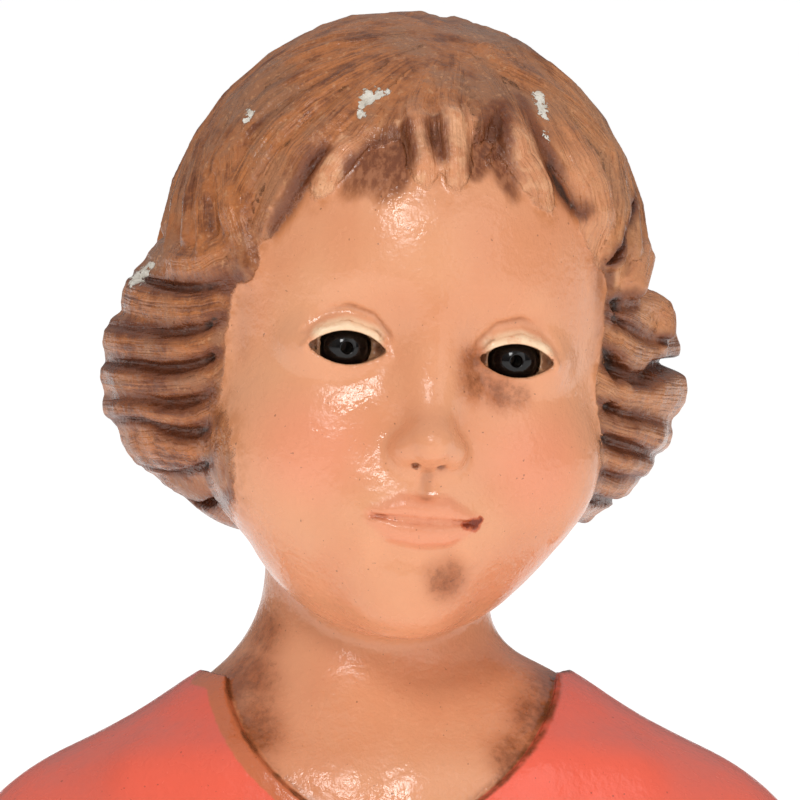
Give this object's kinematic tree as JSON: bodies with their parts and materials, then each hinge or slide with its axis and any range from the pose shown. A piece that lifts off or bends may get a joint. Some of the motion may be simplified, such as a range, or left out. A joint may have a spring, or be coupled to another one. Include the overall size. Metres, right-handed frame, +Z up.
{
  "type": "nativity figure bust",
  "caption": "Head-and-shoulders bust of a child with bobbed hair in painted, varnished plaster with glass bead eyes; it stands on its flat underside as an ornament.",
  "frame": {"origin": "middle of the flat underside", "axes": "+Z up, the face looks towards -Y, +X is the figure's left"},
  "size_m": [0.102, 0.0672, 0.1155],
  "materials": {
    "painted_plaster": "painted and varnished plaster: peach skin, brown hair, coral robe",
    "black_glass": "polished opaque black glass"
  },
  "bodies": {
    "root": {"bust": "painted_plaster", "eye_bead_right": "black_glass", "eye_bead_left": "black_glass"}
  },
  "joints": []
}
